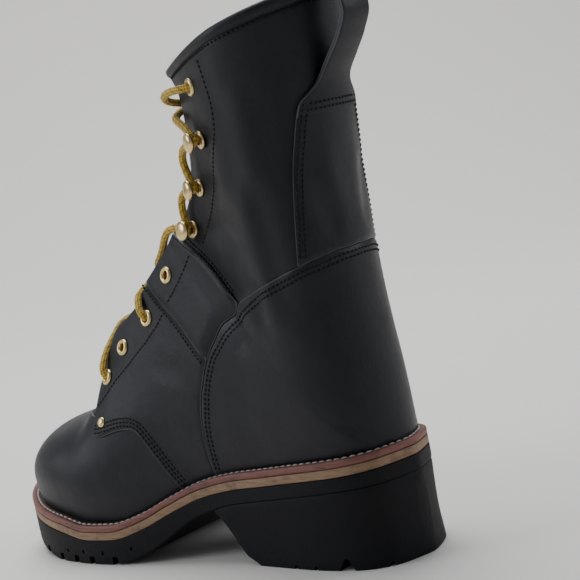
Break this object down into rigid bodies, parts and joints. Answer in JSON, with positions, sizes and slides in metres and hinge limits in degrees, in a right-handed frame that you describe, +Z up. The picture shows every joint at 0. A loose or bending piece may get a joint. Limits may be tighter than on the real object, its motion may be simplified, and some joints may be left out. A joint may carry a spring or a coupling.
{
  "type": "logger boot",
  "caption": "Laced leather logger boot with a plain round toe, a sewn welt, a lugged rubber sole, a high block heel and a pull loop behind the collar.",
  "frame": {"origin": "centre of the footprint on the floor, under the boot", "axes": "+Z up, -Y toward the toe, +X toward the outer side of this left boot"},
  "size_m": [0.1078, 0.3162, 0.3006],
  "materials": {
    "leather": "oiled, satin",
    "overlay_leather": "oiled, satin",
    "tongue_leather": "soft, matte",
    "insole_board": "dry, matte",
    "welt_leather": "red brown, satin",
    "midsole_leather": "tan, burnished edge",
    "rubber": "matte black",
    "brass": "pale polished brass",
    "lace_cord": "braided gold and brown yarn"
  },
  "bodies": {
    "root": {"backstay": "overlay_leather", "eyelet_inner_1": "brass", "eyelet_inner_2": "brass", "eyelet_inner_3": "brass", "eyelet_inner_4": "brass", "eyelet_inner_5": "brass", "eyelet_outer_1": "brass", "eyelet_outer_2": "brass", "eyelet_outer_3": "brass", "eyelet_outer_4": "brass", "eyelet_outer_5": "brass", "heel": "rubber", "heel_counter": "overlay_leather", "hook_inner_1": "brass", "hook_inner_2": "brass", "hook_inner_3": "brass", "hook_outer_1": "brass", "hook_outer_2": "brass", "hook_outer_3": "brass", "insole": "insole_board", "lace": "lace_cord", "midsole": "midsole_leather", "outsole": "rubber", "quarter_inner": "overlay_leather", "quarter_outer": "overlay_leather", "rivet_inner": "brass", "rivet_outer": "brass", "tongue": "tongue_leather", "upper": "leather", "welt": "welt_leather"}
  },
  "joints": []
}
